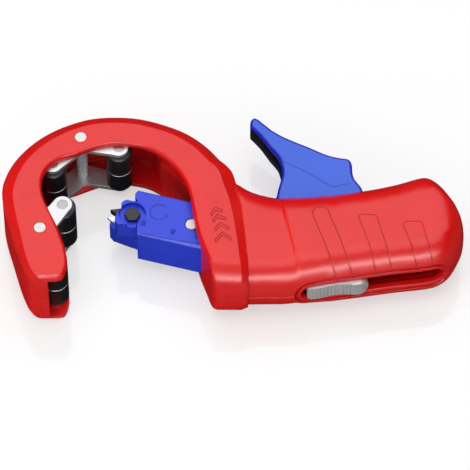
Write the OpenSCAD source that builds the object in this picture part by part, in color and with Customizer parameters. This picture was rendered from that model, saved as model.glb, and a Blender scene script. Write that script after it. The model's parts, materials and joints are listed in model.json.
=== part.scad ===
// Cutter for plastic waste pipe, lying on its side with the pipe axis along Z.
// The origin is on the axis of the largest pipe, at mid-thickness; the grip runs towards +X.

/* [Pipe and rollers] */
// Outside diameter of the largest pipe the cutter takes
pipe_d = 50; // [49:0.25:51]
// Diameter of each roller
roller_d = 11.6; // [11:0.1:12]
// Length of each roller
roller_l = 24.4; // [23:0.1:24.6]
// Width of the ground line round the middle of a roller
line_w = 0.7; // [0.4:0.1:1.2]
// Depth of the ground line
line_depth = 0.35; // [0.2:0.05:0.5]
// Diameter of a roller axle
axle_d = 4.8; // [4.4:0.1:5]
// Distance from a rocker's pivot to each of its rollers
arm_l = 17; // [16.6:0.1:17.4]
// Angle between the two arms of a rocker
arm_angle = 124; // [120:1:128]
// Thickness of a rocker plate
plate_t = 2; // [1.6:0.1:2.1]
// Radius of a rocker plate round its axles
plate_end_r = 4.2; // [3.6:0.1:4.6]
// Radius of a rocker plate round its pivot
plate_hub_r = 5.6; // [5:0.1:6]
// Diameter of the two rocker pins
pivot_pin_d = 5.2; // [4.8:0.1:5.6]
// Direction of the rear rocker's pin from the pipe axis
rear_pin_angle = 114.3; // [112:0.5:117]
// Direction of the tip rocker's pin from the pipe axis
tip_pin_angle = 206.2; // [204:0.5:208]
// Swing of the rear rocker from where it seats on the largest pipe
rear_swing = -7.8; // [-10:0.5:0]
// Swing of the tip rocker from where it seats on the largest pipe
tip_swing = -32; // [-34:0.5:-20]

/* [Housing] */
// Thickness of the whole cutter
body_t = 36; // [35.6:0.1:38]
// From the rocker pins out to the ring's outer wall
ring_margin = 13.4; // [13:0.1:15]
// Thickness of the moulded walls
wall_t = 2.8; // [2.4:0.1:3]
// Thickness of the flanges beside the rockers
flange_t = 3.2; // [2.8:0.1:3.3]
// Width of the bevel round the ring
bevel_w = 6; // [4.5:0.1:6.4]
// Height of the bevel round the ring
bevel_h = 5; // [3.6:0.1:5.2]
// Rounding of the edge next to the pipe
lip_r = 2; // [1.2:0.1:2.6]
// Rounding of the grip's long edges
grip_r = 14; // [12:0.2:14.4]
// Length of the grip beyond the ring
grip_l = 98.8; // [97:0.2:104]
// Width of the grip
grip_w = 46; // [45.4:0.1:47]
// How far the waist lies below the ring's face
waist_drop = 2.4; // [1.4:0.1:2.8]
// How far the grip lies below the ring's face
grip_drop = 1.1; // [0.6:0.1:1.4]
// Height of the slot for the size slider
slot_h = 9.2; // [9:0.1:10]
// Diameter of the four housing screws
screw_d = 3; // [2.5:0.1:3.4]
// Diameter of a screw head
screw_head_d = 5.6; // [5:0.1:6]
// Depth of the holes that the screw heads lie in
screw_sink = 12; // [8:0.5:13]

/* [Carriage] */
// Slope of the carriage's travel away from the pipe, below the X axis
slide_angle = 15; // [14.5:0.1:15.5]
// Width of the carriage
carriage_w = 21.5; // [20:0.1:21.8]
// Thickness of the carriage
carriage_t = 22; // [20:0.1:22.2]
// From the front step to the back of the carriage
carriage_l = 41.3; // [40:0.1:41.6]
// From the carriage's front step to the front of its head
head_l = 7; // [6:0.1:7.4]
// Radius of the recess round the clamp screw
clamp_recess_r = 5.9; // [5.4:0.1:6.1]
// Width across the flats of the clamp screw
clamp_screw_w = 6.3; // [5.5:0.1:7]
// Thickness of the cutting blade
blade_t = 1.2; // [0.8:0.1:1.6]
// How far the blade tip passes the pipe axis at rest
blade_past = 2.6; // [1:0.1:3]
// Diameter of the guide pin in the carriage slot
guide_pin_d = 5.2; // [4.6:0.1:5.4]
// Travel of the carriage when the trigger is squeezed
feed = 4.8; // [4:0.1:5]
// Travel of the slide from the smallest size to fully open
open_travel = 30; // [28:0.5:30.5]

/* [Trigger and size slider] */
// From the trigger's pin to its tip
trigger_l = 66; // [65:0.2:67]
// Thickness of the trigger
trigger_t = 14; // [13:0.1:14.2]
// Wall of the hollow trigger
trigger_wall = 1.9; // [1.5:0.1:2.2]
// Diameter of the trigger's pin
trigger_pin_d = 6; // [5:0.1:6.4]
// Length of the size slider
slider_l = 27; // [25:0.5:28]
// Height of the size slider
slider_h = 8.4; // [8:0.1:8.6]
// How far the size slider stands out of the grip
slider_proud = 2.1; // [1.4:0.1:2.3]
// Slope of the grip's near wall and of the slider's travel
near_slope = 9.5; // [9:0.1:10]

/* [Hidden] */
$fn = 48;

half_t = body_t / 2;
run = 0.3;          // gap between pieces that slide past each other
fit = 0.05;         // gap round a pin in its bore
over = 1;           // overrun of every cut
pipe_r = pipe_d / 2;
seat_r = pipe_r + roller_d / 2;
half_arm = arm_angle / 2;
pin_r = arm_l * cos(half_arm) + sqrt(pow(seat_r, 2) - pow(arm_l * sin(half_arm), 2));
ring_r = pin_r + ring_margin;
plate_top = half_t - flange_t - run;
plate_in = plate_top - plate_t;

function polar(r, a) = [r * cos(a), r * sin(a)];
function unit(v) = v / norm(v);
function mix(a, b, t) = a * (1 - t) + b * t;
function size_in(points, size) = [for (p = points) [p[0] * size, p[1] * size]];

// A smooth closed or open curve through the points, with steps points per span
function spline_at(p0, p1, p2, p3, t) =
    p1 + (p2 - p0) * (t / 2) + (2 * p0 - 5 * p1 + 4 * p2 - p3) * (t * t / 2)
    + (3 * p1 - p0 - 3 * p2 + p3) * (t * t * t / 2);
function curve_at(p, u) = let (i = min(floor(u), len(p) - 2))
    spline_at(p[max(i - 1, 0)], p[i], p[i + 1], p[min(i + 2, len(p) - 1)], u - i);
function places(p, steps) = [for (i = [0 : (len(p) - 1) * steps]) i / steps];
function open_spline(p, steps) = [for (u = places(p, steps)) curve_at(p, u)];

rear_pin = polar(pin_r, rear_pin_angle);
tip_pin = polar(pin_r, tip_pin_angle);
function rocker_face(pin_angle, swing) = pin_angle + 180 + swing;
rear_face = rocker_face(rear_pin_angle, rear_swing);
tip_face = rocker_face(tip_pin_angle, tip_swing);
roller_rear_inner_at = rear_pin + polar(arm_l, rear_face + half_arm);
roller_rear_outer_at = rear_pin + polar(arm_l, rear_face - half_arm);
roller_tip_inner_at = tip_pin + polar(arm_l, tip_face + half_arm);
roller_tip_outer_at = tip_pin + polar(arm_l, tip_face - half_arm);

// Ring and neck: lip x, lip y, wall x, wall y as shares of the ring's radius,
// then the share of the half thickness that the wall's top reaches
ring_shares = [
    [-0.498, -0.866, -0.630, -0.864, 0.74],
    [-0.428, -0.818, -0.738, -0.820, 1],
    [-0.394, -0.688, -0.810, -0.668, 1],
    [-0.413, -0.545, -0.863, -0.498, 1],
    [-0.456, -0.395, -0.910, -0.332, 1],
    [-0.506, -0.260, -0.955, -0.176, 1],
    [-0.558, -0.145, -0.990, -0.020, 1],
    [-0.606, -0.031, -1.004, 0.124, 1],
    [-0.637, 0.085, -0.988, 0.239, 1],
    [-0.639, 0.218, -0.934, 0.384, 1],
    [-0.589, 0.336, -0.847, 0.523, 1],
    [-0.490, 0.427, -0.722, 0.658, 1],
    [-0.353, 0.477, -0.571, 0.772, 1],
    [-0.239, 0.527, -0.398, 0.859, 1],
    [-0.108, 0.577, -0.203, 0.921, 1],
    [0.050, 0.598, 0.021, 0.938, 1],
    [0.191, 0.581, 0.249, 0.917, 1],
    [0.322, 0.544, 0.467, 0.851, 1],
    [0.442, 0.465, 0.664, 0.759, 1],
    [0.550, 0.353, 0.834, 0.627, 1],
    [0.635, 0.224, 0.971, 0.469, 1],
    [0.693, 0.075, 1.079, 0.328, 1],
    [0.724, -0.083, 1.127, 0.176, 1],
    [0.751, -0.249, 1.168, -0.062, 1],
    [0.788, -0.405, 1.195, -0.270, 1],
    [0.834, -0.539, 1.212, -0.456, 1],
    [0.863, -0.622, 1.222, -0.612, 1],
    [0.884, -0.705, 1.228, -0.716, 0.906],
    [0.909, -0.793, 1.230, -0.797, 0.722],
    [0.938, -0.842, 1.228, -0.842, 0.511],
    [0.959, -0.863, 1.224, -0.863, 0.222]
];
tip_end = 1;        // last station of the cutter's tip
neck_start = 21;    // first station whose outer side is the step down to the waist

// Grip: near x, far x as shares of its length from the ring, near y, far y as shares
// of its width, then 0 for the waist's height and 1 for the grip's
grip_shares = [
    [-0.060, -0.045, -0.838, 0.217, 0],
    [0.021, 0.006, -0.876, 0.222, 0],
    [0.071, 0.051, -0.878, 0.174, 0],
    [0.132, 0.102, -0.876, 0.148, 0],
    [0.203, 0.142, -0.874, 0.139, 0],
    [0.258, 0.168, -0.859, 0.139, 0],
    [0.299, 0.195, -0.835, 0.143, 1],
    [0.385, 0.294, -0.793, 0.154, 1],
    [0.486, 0.405, -0.757, 0.174, 1],
    [0.588, 0.517, -0.720, 0.211, 1],
    [0.689, 0.623, -0.685, 0.254, 1],
    [0.780, 0.719, -0.661, 0.309, 1],
    [0.851, 0.790, -0.637, 0.361, 1],
    [0.902, 0.833, -0.598, 0.374, 1],
    [0.942, 0.876, -0.535, 0.326, 1],
    [0.972, 0.918, -0.443, 0.235, 1],
    [0.991, 0.954, -0.348, 0.109, 1],
    [0.998, 0.979, -0.270, -0.009, 1],
    [1, 0.992, -0.209, -0.100, 1]
];
grip_x = 1.141 * ring_r;
grip_end_shares = [1, 0.975, 0.9, 0.76, 0.55, 0.27]; // heights of the last stations

// One half cross-section from the near or inner foot over the top to the far foot
edge_steps = 5;
skin_steps = 3;     // sections from one station to the next
parting = 0.25;     // groove where the halves meet
width_share = 0.46; // most of a section's width that one rounding takes
height_share = 0.9; // and most of its height
function edge(k, soft) = let (a = 90 * k / edge_steps)
    [mix(k / edge_steps, 1 - cos(a), soft), mix(1 - k / edge_steps, 1 - sin(a), soft)];
function section(a, b, top, ra, rb, soft) =
    let (d = unit(b - a), w = norm(b - a),
         sa = min(ra[0], w * width_share), sb = min(rb[0], w * width_share))
    concat(
        [[a[0] + d[0] * parting, a[1] + d[1] * parting, 0], [a[0], a[1], parting]],
        [for (k = [0 : edge_steps]) let (e = edge(k, soft[0]), p = a + d * sa * e[0])
            [p[0], p[1], top - min(ra[1], top * height_share) * e[1]]],
        [for (k = [edge_steps : -1 : 0]) let (e = edge(k, soft[1]), p = b - d * sb * e[0])
            [p[0], p[1], top - min(rb[1], top * height_share) * e[1]]],
        [[b[0], b[1], parting], [b[0] - d[0] * parting, b[1] - d[1] * parting, 0]]);

// Solid skinned over the sections, closed by a flat face at each end
module loft(s) {
    n = len(s[0]);
    m = len(s);
    polyhedron(
        points = [for (r = s, p = r) p],
        faces = concat(
            [[for (j = [n - 1 : -1 : 0]) j]],
            [[for (j = [0 : n - 1]) (m - 1) * n + j]],
            [for (i = [0 : m - 2], j = [0 : n - 1]) let (q = (j + 1) % n)
                each [[i * n + j, i * n + q, (i + 1) * n + q],
                      [i * n + j, (i + 1) * n + q, (i + 1) * n + j]]]),
        convexity = 8);
}

// The bevel grows over these stations from the tip, and turns into the neck's step later on
bevel_stations = [2, 8];
bevel_soft_share = 0.3;
neck_step_share = 1.5;
function ring_section(u) =
    let (s = curve_at(ring_shares, u), top = min(s[4], 1) * half_t,
         grown = (u - bevel_stations[0]) / (bevel_stations[1] - bevel_stations[0]),
         neck = min(max(u - neck_start + 1, 0), 1),
         w = mix(mix(wall_t, bevel_w, min(max(grown, 0), 1)), lip_r * neck_step_share, neck),
         h = mix(bevel_h, waist_drop, neck))
    section([s[0], s[1]] * ring_r, [s[2], s[3]] * ring_r, top,
        [lip_r, lip_r], [w, h], [1, mix(bevel_soft_share, 0, neck)]);
module ring_half() {
    loft([for (u = places(ring_shares, skin_steps)) ring_section(u)]);
}

grip_last = len(grip_shares) - 1;
function end_share(u) =
    let (n = len(grip_end_shares) - 1, k = n - grip_last + u)
    k <= 0 ? 1 : curve_at(grip_end_shares, k);
function grip_points(u) = let (s = curve_at(grip_shares, u))
    [[grip_x + s[0] * grip_l, s[2] * grip_w], [grip_x + s[1] * grip_l, s[3] * grip_w]];
function grip_section(u) =
    let (p = grip_points(u), high = min(max(curve_at(grip_shares, u)[4], 0), 1),
         top = (half_t - mix(waist_drop, grip_drop, high)) * end_share(u))
    section(p[0], p[1], top, [grip_r, grip_r], [grip_r, grip_r], [1, 1]);
module grip_half() {
    loft([for (u = places(grip_shares, skin_steps)) grip_section(u)]);
}

// Frame of the slide: along its travel away from the pipe, across it towards the far side
module on_slide() { rotate(-slide_angle) children(); }
function at_n(x, n) = [x, (n - x * sin(slide_angle)) / cos(slide_angle)];
function to_slide(p) = [p[0] * cos(slide_angle) - p[1] * sin(slide_angle),
                        p[0] * sin(slide_angle) + p[1] * cos(slide_angle)];
function slide_point(t, n) =
    [t * cos(slide_angle) + n * sin(slide_angle), n * cos(slide_angle) - t * sin(slide_angle)];
// Slot with round ends from p to q, in the plane, cut or drawn h high about z = 0
module round_slot(p, q, r, h) {
    d = q - p;
    translate([p[0], p[1], -h / 2]) {
        cylinder(r = r, h = h);
        rotate(atan2(d[1], d[0])) translate([0, -r, 0]) cube([norm(d), 2 * r, h]);
    }
    translate([q[0], q[1], -h / 2]) cylinder(r = r, h = h);
}
module slab(points, h) { translate([0, 0, -h / 2]) linear_extrude(h) polygon(points); }
module block(x0, x1, y0, y1, h) {
    translate([x0, y0, -h / 2]) cube([x1 - x0, y1 - y0, h]);
}

carriage_front = 10.8;   // front step of the carriage, along X
carriage_back = carriage_front + carriage_l;
channel_half = carriage_w / 2 + run;
channel_h = carriage_t + 2 * run;
back_block_l = 8;
slide_end = carriage_back + back_block_l;

// Trigger pin, from the sizes of the channel that it clears
trigger_pin_shares = [0.486, -0.0435];
trigger_pin_at = grip_spots([trigger_pin_shares])[0];

// Frame of the near wall: along the size slider's travel, inwards from the wall
arm_t = 4;              // size slider's inner arm
wall_shares = [0.304, -0.82];
wall_from = grip_spots([wall_shares])[0];
function to_wall(p) = let (d = p - wall_from)
    [d[0] * cos(near_slope) + d[1] * sin(near_slope), d[1] * cos(near_slope) - d[0] * sin(near_slope)];
module on_near_wall() { translate(wall_from) rotate(near_slope) children(); }
slider_travel = open_travel / cos(slide_angle + near_slope);
cross_travel = open_travel * tan(slide_angle + near_slope);

// Spots given as shares of the ring's radius, and of the grip's length and width
function grip_spots(shares) = [for (q = shares) [grip_x + q[0] * grip_l, q[1] * grip_w]];
ring_screw_shares = [[0.80, 0.50], [1.08, -0.70]];
grip_screw_shares = [[0.84, 0.16], [0.935, -0.24]];
trigger_room_shares = [[0.11, 0.4], [0.11, -0.1], [0.574, -0.1], [0.574, 0.4]];
screw_spots = concat(size_in(ring_screw_shares, ring_r), grip_spots(grip_screw_shares));
screw_grip = 7;         // thread in the upper half
screw_head_h = 0.7 * screw_d;
hollow_h = 13;          // room inside the grip
rib_t = 2;              // ledge inside the ring's outer wall
pin_skin = 4;           // material over the trigger's pin
trigger_pin_l = body_t - 2 * pin_skin;

function ring_points(u) = let (s = curve_at(ring_shares, u)) [[s[0], s[1]] * ring_r, [s[2], s[3]] * ring_r];
function wall_in(u, gap) = let (p = ring_points(u)) p[1] + unit(p[0] - p[1]) * gap;
function lip_back(u, gap) = let (p = ring_points(u)) p[0] + unit(p[1] - p[0]) * gap;

// Space between the flanges for rockers and rollers
rib_set = 4.6;
ledge = 1.7;        // width of the ledge along the inner wall beside the carriage
ledge_z = 4;        // and its height over the middle
throat_shares = [[-0.565, -1], [-0.565, -0.815], [-0.25, -1]];
channel_shares = [0.3, 0.5, 0.8];   // along the slide, where the spaces meet the channel
module rocker_space(gap, h, set) {
    throat = size_in(throat_shares, ring_r);
    slab(concat(
        [throat[0], throat[1], wall_in(1.6, gap) + [0, over]],
        [for (u = [2.2 : 0.5 : 16.2]) wall_in(u, gap)],
        [wall_in(16.6, gap), lip_back(17.2, 2 * set), lip_back(17.6, set)],
        [for (u = [18.2 : 20.2]) lip_back(u, set)],
        [for (u = [20.6 : 0.5 : 21.6]) lip_back(u, set - wall_t / 2)],
        [slide_point(channel_shares[2] * ring_r, channel_half),
         slide_point(channel_shares[0] * ring_r, -channel_half), throat[2]]), h);
}

function grip_inset(u, gap) =
    let (p = grip_points(u), d = unit(p[1] - p[0])) [p[0] + d * gap, p[1] - d * gap];
module grip_space(from, to, gap, h) {
    slab(concat([for (u = [from : 0.5 : to]) grip_inset(u, gap)[0]],
                [for (u = [to : -0.5 : from]) grip_inset(u, gap)[1]]), h);
}

boss_r = screw_head_d / 2 + wall_t / 2;
module bosses(h) {
    for (p = screw_spots) translate([p[0], p[1], -h / 2]) cylinder(r = boss_r, h = h);
}
module spaces() {
    rocker_space(wall_t, 2 * plate_in, rib_set - ledge);
    rocker_space(wall_t + rib_t, 2 * (half_t - flange_t), rib_set - ledge);
    translate([0, 0, (plate_in + ledge_z) / 2]) rocker_space(wall_t, plate_in - ledge_z, rib_set);
    on_slide() block(channel_shares[1] * ring_r, slide_end + open_travel + run,
        -channel_half, channel_half, channel_h);
    difference() {
        union() {
            grip_space(3.2, 15.7, wall_t + run, hollow_h);
            grip_space(2.2, 14.2, grip_r / 2, channel_h);
            slab(grip_spots(trigger_room_shares), trigger_t + 2 * run);
        }
        bosses(2 * body_t);
        for (side = [-1, 1]) translate([trigger_pin_at[0], trigger_pin_at[1],
                side > 0 ? trigger_t / 2 + run : -half_t])
            cylinder(r = trigger_pin_d, h = half_t - trigger_t / 2 - run);
    }
    on_near_wall() {
        slot_plate(slot_h / 2, -2 * over - slider_proud, grip_r / 2);
        block(to_wall(slide_point(peg_t, peg_n - cross_travel))[0] - 2 * peg_d, slider_l,
            arm_q[0] - over, to_wall(slide_point(peg_t, peg_n))[1] + 2 * peg_d, arm_t + 2 * run);
        rim_groove();
    }
}
slot_past = 3.2;    // room in the slot before the size slider
slot_end_gap = 0.5; // and past it when it is fully out
slot_ends = [slot_h / 2 - slot_past, slider_l + slider_travel + slot_end_gap - slot_h / 2];
rim_r = 6;          // half the height of the rim round the slot
groove_w = 1.2;     // groove round that rim
groove_depth = 1.2;
// Plate with round ends over the slot, from the first distance inwards to the second
module slot_plate(r, from, to) {
    translate([0, to, 0]) rotate([90, 0, 0]) translate([0, 0, (to - from) / 2])
        round_slot([slot_ends[0], 0], [slot_ends[1], 0], r, to - from);
}
module rim_groove() {
    difference() {
        slot_plate(rim_r + groove_w, -2 * over, groove_depth);
        slot_plate(rim_r, -3 * over, groove_depth + over);
    }
}
module pin_bores() {
    for (p = [rear_pin, tip_pin]) translate([p[0], p[1], -body_t])
        cylinder(d = pivot_pin_d + 2 * fit, h = 2 * body_t);
    translate([trigger_pin_at[0], trigger_pin_at[1], -trigger_pin_l / 2])
        cylinder(d = trigger_pin_d + 2 * fit, h = trigger_pin_l);
}

module housing_upper() {
    color([0.93, 0.2, 0.19]) difference() {
        union() { ring_half(); grip_half(); }
        spaces();
        pin_bores();
        for (p = screw_spots) translate([p[0], p[1], -over])
            cylinder(d = screw_d + 2 * fit, h = screw_grip + over);
    }
}

module housing_lower() {
    color([0.82, 0.07, 0.06]) difference() {
        mirror([0, 0, 1]) union() { ring_half(); grip_half(); }
        spaces();
        pin_bores();
        for (p = screw_spots) {
            translate([p[0], p[1], -half_t - over]) cylinder(d = screw_d + 2 * fit, h = body_t);
            translate([p[0], p[1], -half_t - over])
                cylinder(d = screw_head_d + 2 * run, h = screw_sink + over);
        }
    }
}
module housing_screws() {
    color([0.55, 0.55, 0.58]) for (p = screw_spots) translate([p[0], p[1], screw_sink - half_t]) {
        difference() {
            translate([0, 0, -screw_head_h]) cylinder(d = screw_head_d, h = screw_head_h);
            for (a = [0, 90]) rotate(a) translate([0, 0, -screw_head_h])
                block(-screw_head_d / 3, screw_head_d / 3, -screw_d / 7, screw_d / 7, screw_head_h);
        }
        cylinder(d = screw_d, h = half_t - screw_sink + screw_grip - run);
    }
}
module rear_rocker_pin() { rocker_pin(rear_pin); }
module tip_rocker_pin() { rocker_pin(tip_pin); }
module rocker_pin(p) {
    color([0.9, 0.9, 0.88]) translate([p[0], p[1], -half_t]) cylinder(d = pivot_pin_d, h = body_t);
}
module trigger_pin() {
    color([0.75, 0.75, 0.78]) translate([trigger_pin_at[0], trigger_pin_at[1], -trigger_pin_l / 2 + fit])
        cylinder(d = trigger_pin_d, h = trigger_pin_l - 2 * fit);
}

// Boomerang plate round a pivot and its two axles, hollowed towards the pipe
web_share = 0.97;           // of the hub's and the ends' radii, to the web's edges
web_back_shares = [0.9, -0.4];
module rocker_plate(pin, face, upper) {
    z = upper ? plate_in : -plate_top;
    color([0.8, 0.8, 0.82]) translate([pin[0], pin[1], z]) rotate(face) difference() {
        union() {
            cylinder(r = plate_hub_r, h = plate_t);
            for (side = [-1, 1]) {
                rotate(side * half_arm) translate([arm_l, 0, 0]) cylinder(r = plate_end_r, h = plate_t);
                linear_extrude(plate_t) polygon([
                    polar(web_share * plate_hub_r, side * (half_arm + 90)),
                    polar(arm_l, side * half_arm) + polar(web_share * plate_end_r, side * (half_arm + 90)),
                    polar(arm_l, side * half_arm) + polar(web_share * plate_end_r, side * (half_arm - 90)),
                    [plate_hub_r * web_back_shares[0], 0], [plate_hub_r * web_back_shares[1], 0]]);
            }
        }
        translate([0, 0, -over]) {
            cylinder(d = pivot_pin_d + 2 * fit, h = plate_t + 2 * over);
            for (side = [-1, 1]) rotate(side * half_arm) translate([arm_l, 0, 0])
                cylinder(d = axle_d, h = plate_t + 2 * over);
        }
    }
}
module rear_rocker_plate_upper() { rocker_plate(rear_pin, rear_face, true); }
module rear_rocker_plate_lower() { rocker_plate(rear_pin, rear_face, false); }
module tip_rocker_plate_upper() { rocker_plate(tip_pin, tip_face, true); }
module tip_rocker_plate_lower() { rocker_plate(tip_pin, tip_face, false); }

module roller_axles(spots) {
    color([0.6, 0.6, 0.62]) for (p = spots) translate([p[0], p[1], -plate_top])
        cylinder(d = axle_d, h = 2 * plate_top);
}
module rear_roller_axles() { roller_axles([roller_rear_outer_at, roller_rear_inner_at]); }
module tip_roller_axles() { roller_axles([roller_tip_outer_at, roller_tip_inner_at]); }

module roller(p) {
    r = roller_d / 2;
    edge_r = roller_d / 20;
    color([0.1, 0.1, 0.1]) translate([p[0], p[1], 0]) rotate_extrude() polygon([
        [axle_d / 2 + fit, -roller_l / 2], [r - edge_r, -roller_l / 2], [r, -roller_l / 2 + edge_r],
        [r, -line_w / 2], [r - line_depth, -line_w / 4], [r - line_depth, line_w / 4], [r, line_w / 2],
        [r, roller_l / 2 - edge_r], [r - edge_r, roller_l / 2], [axle_d / 2 + fit, roller_l / 2]]);
}
module roller_rear_outer() { roller(roller_rear_outer_at); }
module roller_rear_inner() { roller(roller_rear_inner_at); }
module roller_tip_inner() { roller(roller_tip_inner_at); }
module roller_tip_outer() { roller(roller_tip_outer_at); }

// Base slide: collar under the guide pin, rod, back block and a fork for the peg
guide_t = 35.8;              // guide pin, along the slide
collar_half = 6.2;
collar_l = 7.6;
collar_h = 11.4;
rod_r = 2.4;
block_half = 8.5;
back_wall = 3.2;             // of the carriage, behind its spring
cavity_from = 14;
cavity = [cavity_from, carriage_back - back_wall]; // ends of the room for collar and spring
peg_out = 6.5;
peg_t = slide_end + peg_out;
peg_d = 4;
// The peg moves off the slide's axis where the near wall would leave its slot no room
slot_room = to_wall(slide_point(peg_t, -cross_travel))[1];
least_room = wall_t + run + peg_d;
peg_n = max(0, least_room - slot_room) / cos(slide_angle + near_slope);
// Edges of the arm, inwards from the near wall; it keeps a web below the peg's slot
arm_in = 5.6;
arm_w = 3.6;
arm_web = 1.8;
arm_near = min(arm_in, max(slot_room, least_room) - peg_d / 2 - 2 * fit - arm_web);
arm_q = [arm_near, arm_near + arm_w];
fork_gap = 4.6;
fork_h = 9.4;
module base_slide() {
    color([0.25, 0.25, 0.28]) on_slide() difference() {
        union() {
            block(guide_t - collar_l / 2, guide_t + collar_l / 2, -collar_half, collar_half, collar_h);
            translate([guide_t, 0, 0]) rotate([0, 90, 0])
                cylinder(r = rod_r, h = carriage_back + over - guide_t);
            block(carriage_back + run, slide_end, -block_half, collar_half, carriage_t);
            block(slide_end - over, peg_t + peg_d, -peg_d, peg_n + peg_d, fork_h);
        }
        block(slide_end, peg_t + 2 * peg_d, -2 * peg_d, peg_n + 2 * peg_d, fork_gap);
        translate([peg_t, peg_n, -fork_h]) cylinder(d = peg_d, h = 2 * fork_h);
        translate([guide_t, 0, 0]) cylinder(d = guide_shank_d, h = carriage_t);
    }
}
guide_shank_d = 0.8 * guide_pin_d;
module guide_pin() {
    color([0.93, 0.93, 0.9]) on_slide() translate([guide_t, 0, 0]) {
        cylinder(d = guide_shank_d, h = carriage_t / 2);
        translate([0, 0, collar_h / 2]) cylinder(d = guide_pin_d, h = carriage_t / 2 - collar_h / 2);
    }
}
module slide_peg() {
    color([0.7, 0.7, 0.73]) on_slide() translate([peg_t, peg_n, -fork_h / 2])
        cylinder(d = peg_d, h = fork_h);
}

// Blade carriage: moulded block with a lower jaw; the clamp is its upper jaw
// Outlines of the head: x from the front step towards the pipe as shares of the head's
// length, y as shares of the carriage's width
jaw_shares = [[-0.143, 0.140], [1, 0.102], [1.714, -0.019], [1.771, -0.102], [1.543, -0.205],
    [-0.143, -0.433]];
clamp_shares = [[0.014, 0.121], [0.300, 0.126], [0.657, 0.158], [0.843, 0.135], [1, 0.074], [1, -0.042],
    [1.200, -0.116], [1.400, -0.270], [1.400, -0.358], [1.243, -0.423], [0.014, -0.447]];
function head_points(shares) = [for (q = shares) [carriage_front - q[0] * head_l, q[1] * carriage_w]];
rack_root = 2;          // of the rack inside the carriage
rack_past = 21;         // from the peg to the rack's end
rack_t0 = carriage_back - rack_root;
rack_t1 = peg_t + rack_past;
rack_n = [8.4, 10.7];   // sides of the rack, across the slide
rack_h = 2.4;
rack_gap = 0.5;         // over the size slider's arm
rack_z = arm_t / 2 + rack_gap + rack_h / 2;
tooth_pitch = 2;
tooth = 0.7;            // half the side of a square notch, set on its corner
guide_slot_more = 12;
guide_slot_l = feed + guide_slot_more;
lobe_at = [11.9, 5.8];  // rounded far corner of the carriage
lobe_l = 0.6;
lobe_r = 2.1;
carriage_edge = 0.8;    // half the diagonal cut along its near edges
module carriage() {
    color([0.24, 0.31, 0.9]) difference() {
        union() {
            slab([at_n(carriage_front, carriage_w / 2), slide_point(carriage_back, carriage_w / 2),
                  slide_point(carriage_back, -carriage_w / 2), at_n(carriage_front, -carriage_w / 2)],
                carriage_t);
            round_slot(lobe_at, lobe_at - [0, lobe_l], lobe_r, carriage_t);
            translate([0, 0, -carriage_t / 2]) linear_extrude(carriage_t / 2 - blade_t / 2)
                polygon(head_points(jaw_shares));
            on_slide() translate([0, 0, rack_z]) block(rack_t0, rack_t1, rack_n[0], rack_n[1], rack_h);
        }
        on_slide() {
            for (side = [-1, 1]) translate([0, -carriage_w / 2, side * carriage_t / 2]) rotate([45, 0, 0])
                block(0, carriage_back + over, -carriage_edge, carriage_edge, 2 * carriage_edge);
            block(cavity[0], cavity[1], -collar_half - run, collar_half + run, collar_h + 2 * run);
            translate([cavity[1] - over, 0, 0]) rotate([0, 90, 0])
                cylinder(r = rod_r + fit, h = back_wall + 2 * over);
            round_slot([guide_t, 0], [guide_t + guide_slot_l, 0], guide_pin_d / 2 + run, 2 * carriage_t);
            for (t = [carriage_back + tooth_pitch : tooth_pitch : rack_t1 - over])
                translate([t, rack_n[1], rack_z]) rotate(45)
                    block(-tooth, tooth, -tooth, tooth, rack_h + 2 * over);
        }
        translate([clamp_at[0], clamp_at[1], -clamp_thread])
            cylinder(d = clamp_shank_d, h = clamp_thread + over);
        translate([clamp_at[0], clamp_at[1], carriage_t / 2 - clamp_recess])
            cylinder(r = clamp_recess_r, h = clamp_recess + over);
    }
}
module blade_clamp() {
    color([0.27, 0.34, 0.93]) difference() {
        translate([0, 0, blade_t / 2]) linear_extrude(carriage_t / 2 - blade_t / 2)
            polygon(head_points(clamp_shares));
        translate([clamp_at[0], clamp_at[1], carriage_t / 2 - clamp_recess])
            cylinder(r = clamp_recess_r, h = clamp_recess + over);
        translate([clamp_at[0], clamp_at[1], -over]) cylinder(d = clamp_shank_d + 2 * fit, h = carriage_t);
        chamfer_body();
    }
}
clamp_at = [8.7, -3.9];
clamp_shank_d = 3;
clamp_recess = 2.2;
clamp_thread = 7;
module clamp_screw() {
    color([0.08, 0.08, 0.09]) translate([clamp_at[0], clamp_at[1], 0]) {
        translate([0, 0, carriage_t / 2 - clamp_recess])
            cylinder(d = clamp_screw_w / cos(30), h = clamp_recess - fit, $fn = 6);
        translate([0, 0, -clamp_thread])
            cylinder(d = clamp_shank_d, h = carriage_t / 2 - clamp_recess + clamp_thread);
    }
}
blade_l = 12.9;
blade_shares = [[0, 0], [0.395, -0.217], [1, -0.310], [1, 0.217], [0.395, 0.217]];
module cutting_blade() {
    color([0.85, 0.85, 0.87]) difference() {
        on_slide() translate([-blade_past, 0, 0]) slab(size_in(blade_shares, blade_l), blade_t);
        translate([clamp_at[0], clamp_at[1], -over]) cylinder(d = clamp_shank_d + 2 * fit, h = 2 * over);
    }
}
chamfer_t = 3;
chamfer_z = carriage_t / 4;
chamfer_l = 7.2;
chamfer_past = 1.2;     // how far the chamfer cutter passes the pipe axis
chamfer_shares = [[0, 0.056], [0.583, -0.222], [1, -0.222], [1, 0.306], [0.583, 0.306]];
module chamfer_body() {
    on_slide() translate([-chamfer_past, 0, chamfer_z]) slab(size_in(chamfer_shares, chamfer_l), chamfer_t);
}
module chamfer_blade() {
    color([0.15, 0.15, 0.17]) chamfer_body();
}

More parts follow.
